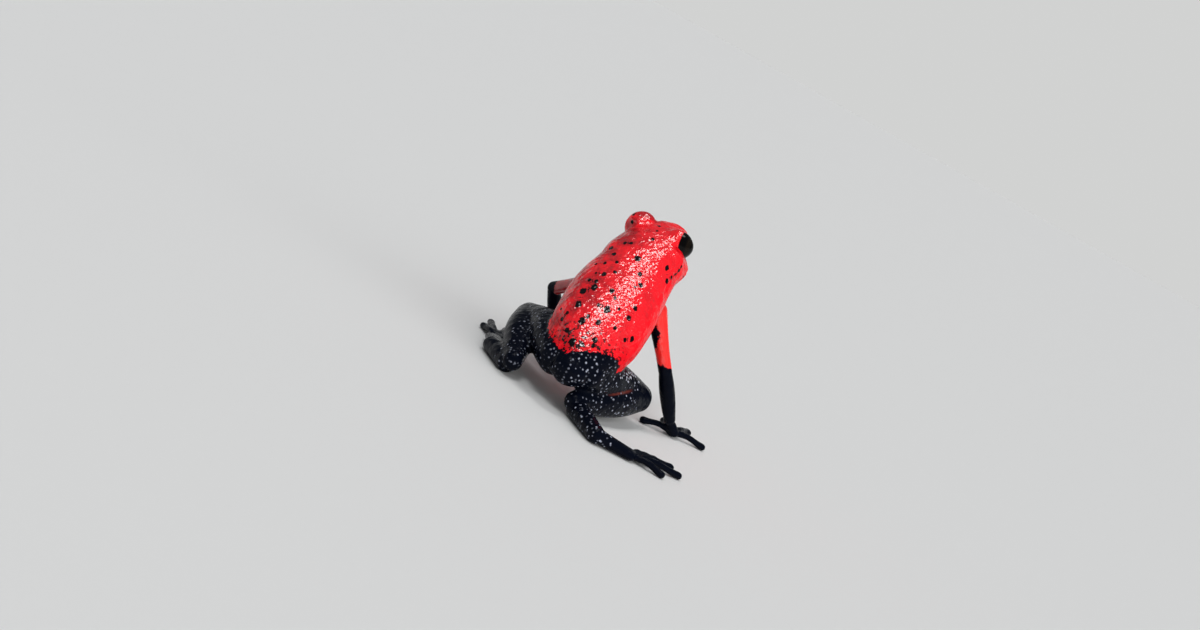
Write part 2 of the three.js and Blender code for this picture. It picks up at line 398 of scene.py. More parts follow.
@dataclass
class Trunk:
    """The torso, from vent to neck. Millimetres and degrees."""

    length: float = 13.4
    vent: Triple = (-1.3, 0.0, 3.2)
    pitch: float = -37.8
    roll: float = 5.6
    yaw: float = 11.7
    sway: Triple = (-0.35, -0.22, 0.08)
    back_rise: tuple[float, float] = (0.1, 0.15)
    neck_rise: float = 0.3
    neck_run: float = 0.5
    shoulder: Triple = (2.7, 11.4, -1.9)
    hip: Triple = (1.35, 1.1, -0.6)
    girth: Sequence[Triple] = (
        (1.5, 1.15, 1.25),
        (2.85, 1.9, 2.2),
        (3.6, 2.4, 2.9),
        (3.78, 2.7, 3.2),
        (3.8, 2.75, 3.1),
        (3.6, 2.6, 2.8),
        (3.3, 2.4, 2.55),
        (3.05, 2.3, 2.45),
    )

    def __post_init__(self) -> None:
        """Sets the frame that carries the trunk."""
        self.carrier = Carrier.turned(self.vent, self.pitch, self.roll, self.yaw)

    def form(self) -> Form:
        """Makes the trunk's form.

        Returns:
            The form, with X swaying to the frog's left along its length.
        """
        third = self.length / 3
        path = (
            (self.sway[0], 0, 0),
            (self.sway[1], -third, self.back_rise[0]),
            (self.sway[2], -2 * third, self.back_rise[1]),
            (0, -self.length, self.neck_rise),
            (0, -self.length - self.neck_run, self.neck_rise),
        )
        return Form(path, self.girth, self.carrier, sides=72, rings=64, square=0.92, caps=(1.1, 1.0),
                    cap_share=0.14)


@dataclass
class Head:
    """The head on the trunk's neck, with the places of its eyes, mouth and nostrils."""

    trunk: Trunk
    length: float = 6.6
    neck_left: float = 0.75
    nape_left: float = -0.6
    nape: Sequence[tuple[float, float]] = ((3.2, -0.1), (0.9, 0), (-1.5, 0))
    face: Sequence[tuple[float, float]] = ((2.6, -0.05), (0.7, -0.2))
    pitch: float = 8.1
    roll: float = 7.5
    yaw: float = -10.6
    eye: Triple = (1.92, 3.25, 1.0)
    eye_radius: float = 1.2
    gaze_right: Triple = (0.9, 0.25, 0.03)
    gaze_left: Triple = (0.72, 0.68, -0.05)
    lid_opening: float = 1.185
    lid_thickness: float = 0.1
    lid_reach: tuple[float, float] = (1.0, 0.55)
    lid_slope: tuple[float, float] = (1.0, 12.0)
    lid_edge: float = 6.0
    socket_depth: float = 0.25
    brow: Triple = (1.85, 3.15, 1.02)
    brow_radius: float = 1.35
    cheek: Triple = (1.9, 2.5, -0.8)
    cheek_radius: float = 1.44
    mouth_corner: float = 1.4
    mouth_rear: float = -1.05
    mouth_front: float = -0.3
    mouth_fade: float = 0.3
    mouth_depth: float = 0.2
    mouth_width: float = 0.085
    lip_swell: float = 0.1
    lip_offset: float = 0.27
    lip_width: float = 0.16
    nostril: Triple = (0.946, 38.0, 0.17)
    nostril_depth: float = 0.16
    nostril_rim: float = 0.04
    eardrum: Triple = (0.522, 10.0, 0.5)
    eardrum_groove: float = 0.05
    eardrum_depth: float = 0.03
    girth: Sequence[Triple] = (
        (2.1, 1.5, 1.7),
        (2.7, 1.95, 2.15),
        (3.05, 2.2, 2.4),
        (3.15, 2.2, 2.4),
        (3.2, 2.2, 2.25),
        (3.1, 2.15, 2.05),
        (2.85, 2.05, 1.8),
        (2.4, 1.8, 1.55),
        (1.9, 1.45, 1.3),
        (1.35, 1.05, 0.95),
    )

    def __post_init__(self) -> None:
        """Sets the frame that carries the head, and its skull."""
        root = (self.neck_left, -self.trunk.length, self.trunk.neck_rise)
        self.carrier = Carrier.turned(root, self.pitch, self.roll, self.yaw, self.trunk.carrier)
        path = [(self.nape_left, behind, up) for behind, up in self.nape]
        path += [(0, short - self.length, up) for short, up in self.face]
        self.skull = Form(path, self.girth, self.carrier, sides=72, rings=56, square=0.85, caps=(0.5, 0.65),
                          cap_share=0.16)

    def forms(self) -> list[Form | Ball]:
        """The forms of the head.

        Returns:
            The skull, the brows over the eyes and the cheeks under them.
        """
        brows = [Ball(self.carrier.place(side, *self.brow), self.brow_radius) for side in Side]
        cheeks = [Ball(self.carrier.place(side, *self.cheek), self.cheek_radius) for side in Side]
        return [self.skull, *brows, *cheeks]

    def eye_centre(self, side: Side) -> Vector:
        """The centre of an eyeball, world mm."""
        return self.carrier.place(side, *self.eye)

    def eye_gaze(self, side: Side) -> Vector:
        """The direction an eye looks in."""
        gaze = self.gaze_left if side is Side.LEFT else self.gaze_right
        return self.carrier.heading(side, *gaze)

    def detailed(self, points: np.ndarray, normals: np.ndarray) -> np.ndarray:
        """Points of the head with mouth line, lips, nostrils, eardrums and lids worked in.

        Args:
            points: world points, mm.
            normals: their unit normals.

        Returns:
            The moved points.
        """
        local = self.carrier.local(points)
        ahead = -local[:, 1]
        above = local[:, 2] - self.mouth_height(ahead)
        on_jaw = ramp(self.mouth_corner - self.mouth_fade, self.mouth_corner + self.mouth_fade, ahead)
        groove = -self.mouth_depth * hump(0, self.mouth_width, above)
        lips = self.lip_swell * hump(self.lip_offset, self.lip_width, np.abs(above))
        push = on_jaw * (groove + lips)
        for side in Side:
            off, radius = self._around(points, side, self.nostril)
            off = off / radius
            push += -self.nostril_depth * hump(0, 1, off) + self.nostril_rim * hump(1.7, 0.6, off)
            off, radius = self._around(points, side, self.eardrum)
            push += -self.eardrum_groove * hump(radius, 0.1, off)
            push += -self.eardrum_depth * ramp(radius, radius - 0.2, off)
        moved = points + normals * push[:, None]
        for side in Side:
            moved = self._lidded(moved, side)
        return moved

    def mouth_height(self, ahead: Any) -> Any:
        """The height of the mouth line at places ahead, in the head's frame."""
        rise = self.mouth_front - self.mouth_rear
        return self.mouth_rear + rise * (ahead - self.mouth_corner) / (self.length - self.mouth_corner)

    def _around(self, points: np.ndarray, side: Side, mark: Triple) -> tuple[np.ndarray, float]:
        """Distances of points from the middle of a nostril or eardrum, and its radius.

        Args:
            points: world points, mm.
            side: the frog's side.
            mark: its share along the skull, its angle on it and its radius.

        Returns:
            The distances and the radius, mm.
        """
        along, angle, radius = mark
        centre = np.array(self.skull.skin_point(along, side, angle))
        return np.linalg.norm(points - centre, axis=1), radius

    def _lidded(self, points: np.ndarray, side: Side) -> np.ndarray:
        """Draws points onto the eyeball around the lids' opening, and behind it inside the opening.

        Args:
            points: world points, mm.
            side: the eye's side.

        Returns:
            The moved points.
        """
        centre, gaze = np.array(self.eye_centre(side)), np.array(self.eye_gaze(side))
        offset = points - centre
        radius = np.maximum(np.linalg.norm(offset, axis=1), 1e-6)
        facing = offset @ gaze / radius
        angle = np.degrees(np.arccos(np.clip(facing, -1, 1)))
        rim = math.degrees(math.asin(self.lid_opening / self.eye_radius))
        far, near = self.lid_reach
        close = ramp(self.eye_radius + far, self.eye_radius + near, radius)
        on_lid = self.eye_radius + self.lid_thickness
        free = np.maximum(radius, on_lid)
        steep, level = self.lid_slope
        outer = on_lid + (free - on_lid) * ramp(rim + steep, rim + level, angle)
        inner = self.eye_radius - self.socket_depth
        wanted = inner + (outer - inner) * ramp(rim - self.lid_edge, rim, angle)
        drawn = radius + (wanted - radius) * close
        return centre + offset * (drawn / radius)[:, None]


@dataclass
class Digits:
    """The fingers or toes of one hand or foot, pressed on the floor at their tips."""

    root: Triple
    tips: Sequence[tuple[float, float]]
    girth: Girths
    height: float = 0.3
    root_rise: float = 0.1
    knuckle_rise: float = 0.22
    pad_share: float = 0.85
    pad_rise: float = 0.03
    sink: float = 0.04

    def forms(self) -> list[Form]:
        """Makes the digits.

        Returns:
            One form for each digit.
        """
        made = []
        start = Vector(self.root)
        start.z = self.height + self.root_rise
        for tip in self.tips:
            end = Vector((*tip, self.height - self.sink))
            middle = start.lerp(end, 0.5)
            middle.z = self.height + self.knuckle_rise
            near_tip = start.lerp(end, self.pad_share)
            near_tip.z = self.height + self.pad_rise
            made.append(Form((start, middle, near_tip, end), self.girth, sides=20, rings=34, cap_share=0.12))
        return made


class Limb:
    """What front and hind limbs share: their parts, from the trunk outwards."""

    parts: dict[str, list[Form]]

    def forms(self) -> list[Form]:
        """Every form of the limb."""
        return [form for forms in self.parts.values() for form in forms]


@dataclass
class Arm(Limb):
    """A front limb: upper arm, forearm and hand."""

    CHAIN = ("upper", "fore", "hand")

    side: Side
    trunk: Trunk
    elbow: Triple
    wrist: Triple
    palm: Triple
    fingers: Sequence[tuple[float, float]]
    upper_girth: Girths = ((0.95, 0.9), (0.75, 0.72), (0.62, 0.6), (0.56, 0.56))
    fore_girth: Girths = ((0.55, 0.55), (0.68, 0.64), (0.66, 0.6), (0.5, 0.48))
    palm_girth: Girths = ((0.5, 0.45), (0.75, 0.45))
    palm_start: float = 0.55
    finger_girth: Girths = ((0.3, 0.3), (0.27, 0.27), (0.25, 0.25), (0.27, 0.25), (0.42, 0.29))

    def __post_init__(self) -> None:
        """Makes the forms of the limb."""
        shoulder = self.trunk.carrier.place(self.side, *self.trunk.shoulder)
        elbow, wrist, palm = (Vector(place) for place in (self.elbow, self.wrist, self.palm))
        self.upper = Form((shoulder, shoulder.lerp(elbow, 0.5), elbow), self.upper_girth)
        self.fore = Form((elbow, elbow.lerp(wrist, 0.5), wrist), self.fore_girth)
        pad = Form((wrist.lerp(palm, self.palm_start), palm), self.palm_girth, caps=(1.0, 0.9))
        digits = Digits(self.palm, self.fingers, self.finger_girth).forms()
        self.parts = dict(zip(self.CHAIN, ([self.upper], [self.fore], [pad, *digits])))


@dataclass
class Leg(Limb):
    """A hind limb: thigh, shank, tarsus and foot."""

    CHAIN = ("thigh", "shank", "tarsus", "foot")

    side: Side
    trunk: Trunk
    thigh_path: Sequence[Triple]
    shank_path: Sequence[Triple]
    heel: Triple
    instep: Triple
    ball: Triple
    toes: Sequence[tuple[float, float]]
    thigh_girth: Girths = ((1.5, 1.5), (1.75, 1.7), (1.7, 1.65), (1.45, 1.45), (1.15, 1.2))
    shank_girth: Girths = ((1.1, 1.1), (1.35, 1.4), (1.35, 1.4), (1.1, 1.15), (0.8, 0.85))
    tarsus_girth: Girths = ((0.85, 0.85), (0.8, 0.78), (0.72, 0.68))
    sole_girth: Girths = ((0.62, 0.58), (0.68, 0.5), (0.85, 0.42))
    toe_girth: Girths = ((0.32, 0.3), (0.28, 0.28), (0.26, 0.26), (0.27, 0.25), (0.36, 0.29))

    def __post_init__(self) -> None:
        """Makes the forms of the limb."""
        hip = self.trunk.carrier.place(self.side, *self.trunk.hip)
        heel, instep, ball = (Vector(place) for place in (self.heel, self.instep, self.ball))
        thigh = Form((hip, *self.thigh_path), self.thigh_girth, sides=44, rings=44)
        shank = Form(self.shank_path, self.shank_girth, sides=44, rings=44)
        tarsus = Form((heel, heel.lerp(instep, 0.5), instep), self.tarsus_girth, caps=(0.5, 1.0))
        sole = Form((instep, instep.lerp(ball, 0.5), ball), self.sole_girth)
        digits = Digits(self.ball, self.toes, self.toe_girth).forms()
        self.parts = dict(zip(self.CHAIN, ([thigh], [shank], [tarsus], [sole, *digits])))


# Camera


@dataclass
class PhotoCamera:
    """The camera at the photograph's viewing angle. Millimetres and degrees in the row frame."""

    azimuth: float = 199.35
    elevation: float = 10.3
    distance: float = 128.7
    aim: Triple = (-0.08, 6.1, 7.75)
    lean: float = 29.3
    lens: float = 50.0
    sensor: float = 36.0
    width: int = 1200
    height: int = 630
    tones: str = "Standard"

    def __post_init__(self) -> None:
        """Works out the place and the axes of the camera."""
        turn, tilt, roll = (math.radians(angle) for angle in (self.azimuth, self.elevation, self.lean))
        outward = (math.sin(turn) * math.cos(tilt), -math.cos(turn) * math.cos(tilt), math.sin(tilt))
        self.back = Vector(outward)
        level = Vector((0, 0, 1)).cross(self.back).normalized()
        upright = self.back.cross(level)
        self.right = level * math.cos(roll) + upright * math.sin(roll)
        self.up = self.back.cross(self.right)
        self.place = Vector(self.aim) + self.back * self.distance

    def ray(self, across: float, down: float) -> Vector:
        """The direction in which a pixel of the photograph is seen.

        Args:
            across: pixels from its left edge.
            down: pixels from its top edge.

        Returns:
            A unit direction from the camera.
        """
        scale = self.sensor / self.lens / self.width
        sideways, upwards = (across - self.width / 2) * scale, (self.height / 2 - down) * scale
        return (self.right * sideways + self.up * upwards - self.back).normalized()

    def build(self) -> bpy.types.Object:
        """Makes the scene's camera.

        Returns:
            The camera object.
        """
        data = bpy.data.cameras.new("photo_camera")
        data.lens, data.sensor_width = self.lens, self.sensor
        data.clip_start, data.clip_end = 0.001, 20.0
        camera = in_scene("photo_camera", data)
        axes = Matrix((self.right, self.up, self.back)).transposed().to_4x4()
        camera.matrix_world = Matrix.Translation(self.place * MM) @ axes
        bpy.context.scene.camera = camera
        bpy.context.scene.view_settings.view_transform = self.tones
        return camera


# Markings


class SpotSize(Enum):
    """Half lengths of the black spots, mm."""

    DOT = 0.11
    SMALL = 0.15
    MIDDLE = 0.2
    LARGE = 0.27


@dataclass
class Spots:
    """Black spots: those that the photograph shows, and scattered ones on what it hides."""

    seen: Sequence[tuple[float, float, SpotSize]] = (
        (611, 248, SpotSize.MIDDLE), (614, 254, SpotSize.MIDDLE), (617, 262, SpotSize.SMALL),
        (605, 263, SpotSize.SMALL), (596, 264, SpotSize.DOT), (615, 272, SpotSize.SMALL),
        (604, 274, SpotSize.MIDDLE), (596, 273, SpotSize.DOT), (589.5, 280, SpotSize.SMALL),
        (596, 281, SpotSize.SMALL), (594.5, 287, SpotSize.LARGE), (583, 291, SpotSize.LARGE),
        (578.5, 304, SpotSize.LARGE), (625, 243, SpotSize.SMALL), (631, 243, SpotSize.SMALL),
        (637.6, 258.5, SpotSize.LARGE), (640, 274, SpotSize.MIDDLE), (640.6, 285, SpotSize.MIDDLE),
        (635, 287, SpotSize.DOT), (667, 268, SpotSize.MIDDLE), (667, 281, SpotSize.MIDDLE),
        (653, 239, SpotSize.SMALL), (659, 226, SpotSize.SMALL), (657, 231, SpotSize.DOT),
        (632, 222, SpotSize.SMALL), (634, 214, SpotSize.SMALL), (670, 221, SpotSize.SMALL),
        (635.4, 308.4, SpotSize.MIDDLE), (629, 318, SpotSize.MIDDLE), (615, 328, SpotSize.SMALL),
        (625, 340, SpotSize.SMALL), (632, 339, SpotSize.MIDDLE), (619, 309, SpotSize.DOT),
        (612, 291, SpotSize.MIDDLE), (615, 298, SpotSize.SMALL), (607, 309.5, SpotSize.LARGE),
        (599, 305, SpotSize.SMALL), (588, 316, SpotSize.SMALL), (582, 321, SpotSize.LARGE),
        (598.5, 322.5, SpotSize.MIDDLE), (567, 330, SpotSize.MIDDLE), (595, 340, SpotSize.MIDDLE),
        (593, 346, SpotSize.SMALL), (572, 342, SpotSize.LARGE), (567, 313, SpotSize.SMALL),
        (562, 319, SpotSize.SMALL), (561, 309, SpotSize.DOT), (681.5, 266.5, SpotSize.DOT),
        (679, 270.5, SpotSize.SMALL), (675.5, 274.5, SpotSize.DOT), (671.5, 277.5, SpotSize.SMALL),
    )
    hidden: int = 70
    tries: int = 4000
    facing_away: float = 0.1
    apart: float = 1.0
    seed: int = 11
    length_ratio: float = 1.35

    def centres(self, shell: BVHTree, camera: PhotoCamera, points: np.ndarray, normals: np.ndarray,
                keep: np.ndarray) -> list[tuple[Vector, float]]:
        """Finds where the spots are on the skin.

        Args:
            shell: the skin, in the row frame in mm.
            camera: the photograph's camera.
            points: points of the skin.
            normals: their normals.
            keep: which points may carry a scattered spot.

        Returns:
            Centres and half lengths, mm.
        """
        found = []
        for across, down, size in self.seen:
            hit = shell.ray_cast(camera.place, camera.ray(across, down))[0]
            if hit is not None:
                found.append((hit, size.value))
        dice = random.Random(self.seed)
        choices = np.flatnonzero(keep & (normals @ np.array(camera.back) < self.facing_away))
        tries = 0
        while len(found) < len(self.seen) + self.hidden and tries < self.tries and len(choices):
            tries += 1
            centre = Vector(points[dice.choice(choices)])
            if all((centre - other).length > self.apart for other, _ in found):
                found.append((centre, dice.choice(list(SpotSize)).value))
        return found

    def reach(self, points: np.ndarray, spots: list[tuple[Vector, float]], along: Vector) -> np.ndarray:
        """Offsets from the nearest spot, in its own half lengths.

        Args:
            points: points of the skin.
            spots: centres and half lengths.
            along: the direction in which spots are longer.

        Returns:
            One row for each point, whose length is 1 on a spot's edge.
        """
        best = np.full(len(points), np.inf)
        offset = np.full((len(points), 3), FAR)
        stretch = np.array(along)
        for centre, size in spots:
            away = (points - np.array(centre)) / size
            away = away - np.outer(away @ stretch, stretch) * (1 - 1 / self.length_ratio)
            length = np.linalg.norm(away, axis=1)
            nearer = length < best
            best[nearer] = length[nearer]
            offset[nearer] = away[nearer]
        return offset


# Skin


@dataclass
class Depths:
    """How far points are outside the frog's parts, below zero inside, and their shares of the lengths."""

    outside: dict[str, np.ndarray]
    share: dict[str, np.ndarray]

    @classmethod
    def of(cls, points: np.ndarray, parts: dict[str, list[Form | Ball]]) -> "Depths":
        """Measures points against the frog's parts.

        Args:
            points: world points, mm.
            parts: each part's forms, by name; a part's shares are those of its first form.

        Returns:
            The distances and shares.
        """
        outside, share = {}, {}
        for name, forms in parts.items():
            measured = [form.depth(points) for form in forms]
            outside[name] = np.min([distance for distance, _ in measured], axis=0)
            share[name] = measured[0][1]
        return cls(outside, share)

    @property
    def body(self) -> np.ndarray:
        """Distances from trunk and head."""
        return np.minimum(self.outside["trunk"], self.outside["head"])

    def limbs(self, *names: str, sides: Iterable[Side] = tuple(Side)) -> np.ndarray:
        """Distances from the nearest of some limbs' parts."""
        return np.min([self.outside[f"{name}_{side.label}"] for side in sides for name in names], axis=0)


@dataclass(frozen=True)
class Fillet:
    """How a crease is rounded: within which widths of it, mm, and how many times each."""

    widths: Sequence[float]
    times: int


@dataclass
class Skin:
    """The one skin over trunk, head and limbs."""

    trunk: Trunk
    head: Head
    arms: dict[Side, Arm]
    legs: dict[Side, Leg]
    camera: PhotoCamera
    spots: Spots
    voxel: float = 0.136
    even_times: int = 2
    neck_fillet: Fillet = Fillet((0.9, 0.6), 14)
    hip_fillet: Fillet = Fillet((0.8, 0.55, 0.35), 8)
    shoulder_fillet: Fillet = Fillet((0.6, 0.4, 0.25), 6)
    joint_fillet: Fillet = Fillet((0.22,), 5)
    most_fill: float = 0.3
    fine_rounds: int = 2
    fine_lid: float = 0.6
    fine_lid_step: float = 0.3
    fine_lip: float = 0.3
    fine_width: float = 4.0
    head_reach: float = 0.5
    brow_reach: float = 0.6
    rump_border: float = 0.25
    rump_slant: float = 0.6
    rump_middle: float = 0.45
    arm_border: float = -0.45
    arm_slant: float = 0.6
    arm_back: Triple = (0.9, 0.4, 0.1)
    arm_patch: tuple[float, float] = (0.36, 0.3)
    crease_span: Sequence[float] = (0.28, 0.4, 0.6, 0.72)
    # fewer, lower granules on the left leg, and so fewer of their partly painted glints
    left_grain: float = 0.45

    def build(self) -> bpy.types.Object:
        """Makes the skin and its markings.

        Returns:
            The skin's object, at the origin, in metres.
        """
        mesh = self._fused()
        self._smoothed(mesh)
        self._filled_out(mesh)
        self._detailed(mesh)
        self._marked(mesh)
        write_places(mesh, read_places(mesh) * MM)
        mesh.shade_smooth()
        return in_scene("skin", mesh)

    def _parts(self) -> dict[str, list[Form | Ball]]:
        """The forms of every part of the frog.

        Returns:
            Forms by the part's name and side.
        """
        parts = {"trunk": [self.trunk.form()], "head": self.head.forms()}
        for side in Side:
            for limb in (self.arms[side], self.legs[side]):
                parts.update({f"{name}_{side.label}": forms for name, forms in limb.parts.items()})
        return parts

    def _fused(self) -> bpy.types.Mesh:
        """Fuses every form into one closed mesh.

        Returns:
            The mesh, in mm about the vent.
        """
        whole = bmesh.new()
        limbs = [form for limb in (*self.arms.values(), *self.legs.values()) for form in limb.forms()]
        for form in (self.trunk.form(), *self.head.forms(), *limbs):
            form.add_to(whole)
        bmesh.ops.recalc_face_normals(whole, faces=whole.faces[:])
        rough = bpy.data.meshes.new("rough_skin")
        whole.to_mesh(rough)
        whole.free()
        carrier = in_scene("rough_skin", rough)
        remesh = carrier.modifiers.new("fuse", "REMESH")
        remesh.mode, remesh.voxel_size, remesh.adaptivity = "VOXEL", self.voxel, 0.0
        depsgraph = bpy.context.evaluated_depsgraph_get()
        mesh = bpy.data.meshes.new_from_object(carrier.evaluated_get(depsgraph))
        mesh.name = "skin"
        bpy.data.objects.remove(carrier)
        bpy.data.meshes.remove(rough)
        return mesh

    def _smoothed(self, mesh: bpy.types.Mesh) -> None:
        """Rounds the creases where forms meet, wide at neck and hips, and narrow elsewhere.

        Args:
            mesh: the fused skin.
        """
        points = read_places(mesh)
        depth = Depths.of(points, self._parts())
        meetings = [
            (depth.outside["trunk"], depth.outside["head"], self.neck_fillet),
            (depth.body, depth.limbs("thigh"), self.hip_fillet),
            (depth.body, depth.limbs("upper"), self.shoulder_fillet),
        ]
        for side in Side:
            for chain in (Arm.CHAIN, Leg.CHAIN):
                for pair in zip(chain, chain[1:]):
                    first, second = (depth.limbs(name, sides=[side]) for name in pair)
                    meetings.append((first, second, self.joint_fillet))
        plans = [(np.arange(len(points)), self.even_times)]
        for first, second, fillet in meetings:
            reach = np.maximum(np.abs(first), np.abs(second))
            plans += [(np.flatnonzero(reach < width), fillet.times) for width in fillet.widths]
        work = bmesh.new()
        work.from_mesh(mesh)
        work.verts.ensure_lookup_table()
        for chosen, times in plans:
            verts = [work.verts[index] for index in chosen]
            for _ in range(times):
                bmesh.ops.smooth_vert(work, verts=verts, factor=0.5, use_axis_x=True, use_axis_y=True,
                                      use_axis_z=True)
        work.to_mesh(mesh)
        work.free()

    def _filled_out(self, mesh: bpy.types.Mesh) -> None:
        """Brings skin that the smoothing drew in back onto its forms.

        Args:
            mesh: the smoothed skin.
        """
        points, normals = read_places(mesh), read_normals(mesh)
        skin = np.min(list(Depths.of(points, self._parts()).outside.values()), axis=0)
        write_places(mesh, points + normals * np.clip(-skin, 0, self.most_fill)[:, None])

    def _detailed(self, mesh: bpy.types.Mesh) -> None:
        """Makes lids and lips finer, works the head's detail in, and rests the frog on the floor.

        Args:
            mesh: the skin, filled out.
        """
        work = bmesh.new()
        work.from_mesh(mesh)
        for turn in range(self.fine_rounds):
            rim = self.head.eye_radius + self.fine_lid - turn * self.fine_lid_step
            edges = self._fine_edges(work, rim)
            bmesh.ops.subdivide_edges(work, edges=edges, cuts=1, use_grid_fill=True, smooth=0.0)
        work.to_mesh(mesh)
        work.free()
        points, normals = read_places(mesh), read_normals(mesh)
        skull, *swellings = self.head.forms()
        chosen = skull.depth(points)[0] < self.head_reach
        chosen |= np.min([form.depth(points)[0] for form in swellings], axis=0) < self.brow_reach
        points[chosen] = self.head.detailed(points[chosen], normals[chosen])
        points[:, 2] = np.maximum(points[:, 2], 0)
        write_places(mesh, points)

    def _fine_edges(self, work: bmesh.types.BMesh, rim: float) -> list[bmesh.types.BMEdge]:
        """Finds the edges on lids and lips.

        Args:
            work: the skin.
            rim: how far the lids reach from an eye's centre, mm.

        Returns:
            The edges.
        """
        head = self.head
        eyes = [(head.eye_centre(side), head.eye_gaze(side)) for side in Side]
        back = head.carrier.matrix.inverted()
        found = []
        for edge in work.edges:
            middle = (edge.verts[0].co + edge.verts[1].co) / 2
            own = back @ middle
            on_jaw = -own.y >= head.mouth_corner - self.fine_lip and abs(own.x) <= self.fine_width
            on_lip = on_jaw and abs(own.z - head.mouth_height(-own.y)) < self.fine_lip
            offsets = [(middle - centre, gaze) for centre, gaze in eyes]
            on_lid = any(away.length < rim and away.dot(gaze) > 0.1 * away.length for away, gaze in offsets)
            if on_lip or on_lid:
                found.append(edge)
        return found

    def _marked(self, mesh: bpy.types.Mesh) -> None:
        """Writes where the markings, the painted shade and the painted glints are, as attributes, and moves
        the mesh to the row frame in mm.

        Args:
            mesh: the skin, in mm about the vent.
        """
        points, normals = read_places(mesh), read_normals(mesh)
        depth = Depths.of(points, self._parts())
        local = self.trunk.carrier.local(points)
        on_arm = np.clip(depth.body - depth.limbs(*Arm.CHAIN), -BORDER, BORDER)
        jeans = self._jeans(points, local, depth, on_arm)
        placed = points - np.array(FOOTPRINT_CENTRE)
        write_places(mesh, placed)
        offsets = self._spot_offsets(mesh, placed, normals, (jeans < -0.4) & (on_arm < -0.6))
        marks = {
            "jeans": jeans,
            "on_arm": on_arm,
            # painted shade: the left upper arm, darkened toward deep red
            "left_arm": ramp(0.0, 0.3, depth.body - depth.outside["upper_left"]),
            # the frog's left-right place, which weights painted shade toward the left side
            "leftward": local[:, 0],
            "ahead": -local[:, 1],
            "back_height": local[:, 2],
            "spot_offset": offsets,
            "spot_near": np.linalg.norm(offsets, axis=1),
            **self._leg_marks(depth, normals, jeans, on_arm),
        }
        for name, values in marks.items():
            write_attribute(mesh, name, values)

    def _jeans(self, points: np.ndarray, local: np.ndarray, depth: Depths, on_arm: np.ndarray) -> np.ndarray:
        """Finds how far points are inside the blue-black of rump, legs, forearms and hands.

        Args:
            points: world points, mm.
            local: the same in the trunk's frame.
            depth: their distances from the parts.
            on_arm: how far they are inside the arms' skin.

        Returns:
            Distances from the border, mm, above zero in the blue-black.
        """
        off_leg = np.minimum(depth.body, depth.limbs(*Arm.CHAIN))
        on_leg = np.clip(off_leg - depth.limbs(*Leg.CHAIN), -BORDER, BORDER)
        border = self.rump_border + self.rump_slant * np.abs(local[:, 0] - self.rump_middle)
        rump = np.clip(border + local[:, 1], -BORDER, BORDER)
        arms = np.full(len(points), -BORDER)
        for side in Side:
            black = np.clip(self._arm_black(points, depth, side), -BORDER, BORDER)
            mine = depth.limbs(*Arm.CHAIN, sides=[side]) < depth.body
            arms = np.where(mine, np.maximum(arms, black), arms)
        return np.maximum(np.maximum(on_leg, np.where(on_arm > 0, -BORDER, rump)), arms)

    def _arm_black(self, points: np.ndarray, depth: Depths, side: Side) -> np.ndarray:
        """Finds how far points of an arm are past the border of its black, with the right arm's patch.

        Args:
            points: world points, mm.
            depth: their distances from the parts.
            side: the arm's side.

        Returns:
            Distances past the border, mm.
        """
        arm = self.arms[side]
        upper, fore, hand = (depth.limbs(name, sides=[side]) for name in Arm.CHAIN)
        share = depth.share[f"upper_{side.label}"]
        behind = (points - arm.upper.axis.at(share)) @ np.array(Vector(self.arm_back).normalized())
        past_elbow = depth.share[f"fore_{side.label}"] * arm.fore.axis.length
        along = np.where(fore < upper, past_elbow, (share - 1) * arm.upper.axis.length)
        black = along - self.arm_border + self.arm_slant * np.clip(behind, -self.arm_slant, self.arm_slant)
        if side is Side.RIGHT:
            middle, half = self.arm_patch
            patch = (1 - np.abs(share - middle) / half) * 0.5 + (behind - 0.5)
            black = np.maximum(black, np.where(fore > upper, patch, -BORDER))
        return np.where(hand < np.minimum(fore, upper), BORDER, black)

    def _leg_marks(self, depth: Depths, normals: np.ndarray, jeans: np.ndarray,
                   on_arm: np.ndarray) -> dict[str, np.ndarray]:
        """Finds where the hind legs are granular, where the right thigh's upward-facing top gets denser
        granules and a painted highlight, and the reddish crease between the right thigh and shank.

        Args:
            depth: the points' distances from the parts.
            normals: their normals.
            jeans: how far they are inside the blue-black.
            on_arm: how far they are inside the arms' skin.

        Returns:
            Values by the attribute's name.
        """
        thigh, shank = depth.outside["thigh_right"], depth.outside["shank_right"]
        grain = ramp(0.0, 0.4, jeans) * (on_arm < 0) * ramp(1.6, 0.5, depth.limbs("thigh", "shank", "tarsus"))
        on_left = depth.limbs(*Leg.CHAIN, sides=[Side.LEFT]) <= np.minimum(thigh, shank)
        crease = ramp(0.12, 0.04, np.abs(thigh - shank)) * ramp(0.5, 0.3, np.maximum(thigh, shank))
        start, full, fade, stop = self.crease_span
        along = depth.share["shank_right"]
        return {
            "grain": grain * np.where(on_left, self.left_grain, 1.0),
            # painted highlight mask: the right thigh's upward-facing top, with denser granules and brighter
            # painted glints
            "dense": ramp(0.5, 0.1, thigh) * ramp(0.1, 0.5, shank) * ramp(0.1, 0.8, normals[:, 2]),
            "crease": crease * ramp(start, full, along) * ramp(stop, fade, along),
        }

    def _spot_offsets(self, mesh: bpy.types.Mesh, points: np.ndarray, normals: np.ndarray,
                      keep: np.ndarray) -> np.ndarray:
        """Places the black spots and finds the offsets from them.

        Args:
            mesh: the skin, in the row frame in mm.
            points: its vertices' places.
            normals: their normals.
            keep: which vertices are scarlet and off the arms.

        Returns:
            Offsets from the nearest spot, in its half lengths.
        """
        corners = [vert.co for vert in mesh.vertices]
        shell = BVHTree.FromPolygons(corners, [face.vertices for face in mesh.polygons])
        upward = self.trunk.carrier.heading(Side.LEFT, 0, 0, 1)
        keep = keep & (normals @ np.array(upward) > -0.35)
        spots = self.spots.centres(shell, self.camera, points, normals, keep)
        return self.spots.reach(points, spots, self.trunk.carrier.heading(Side.LEFT, 0.25, 1, 0))


# Eyes


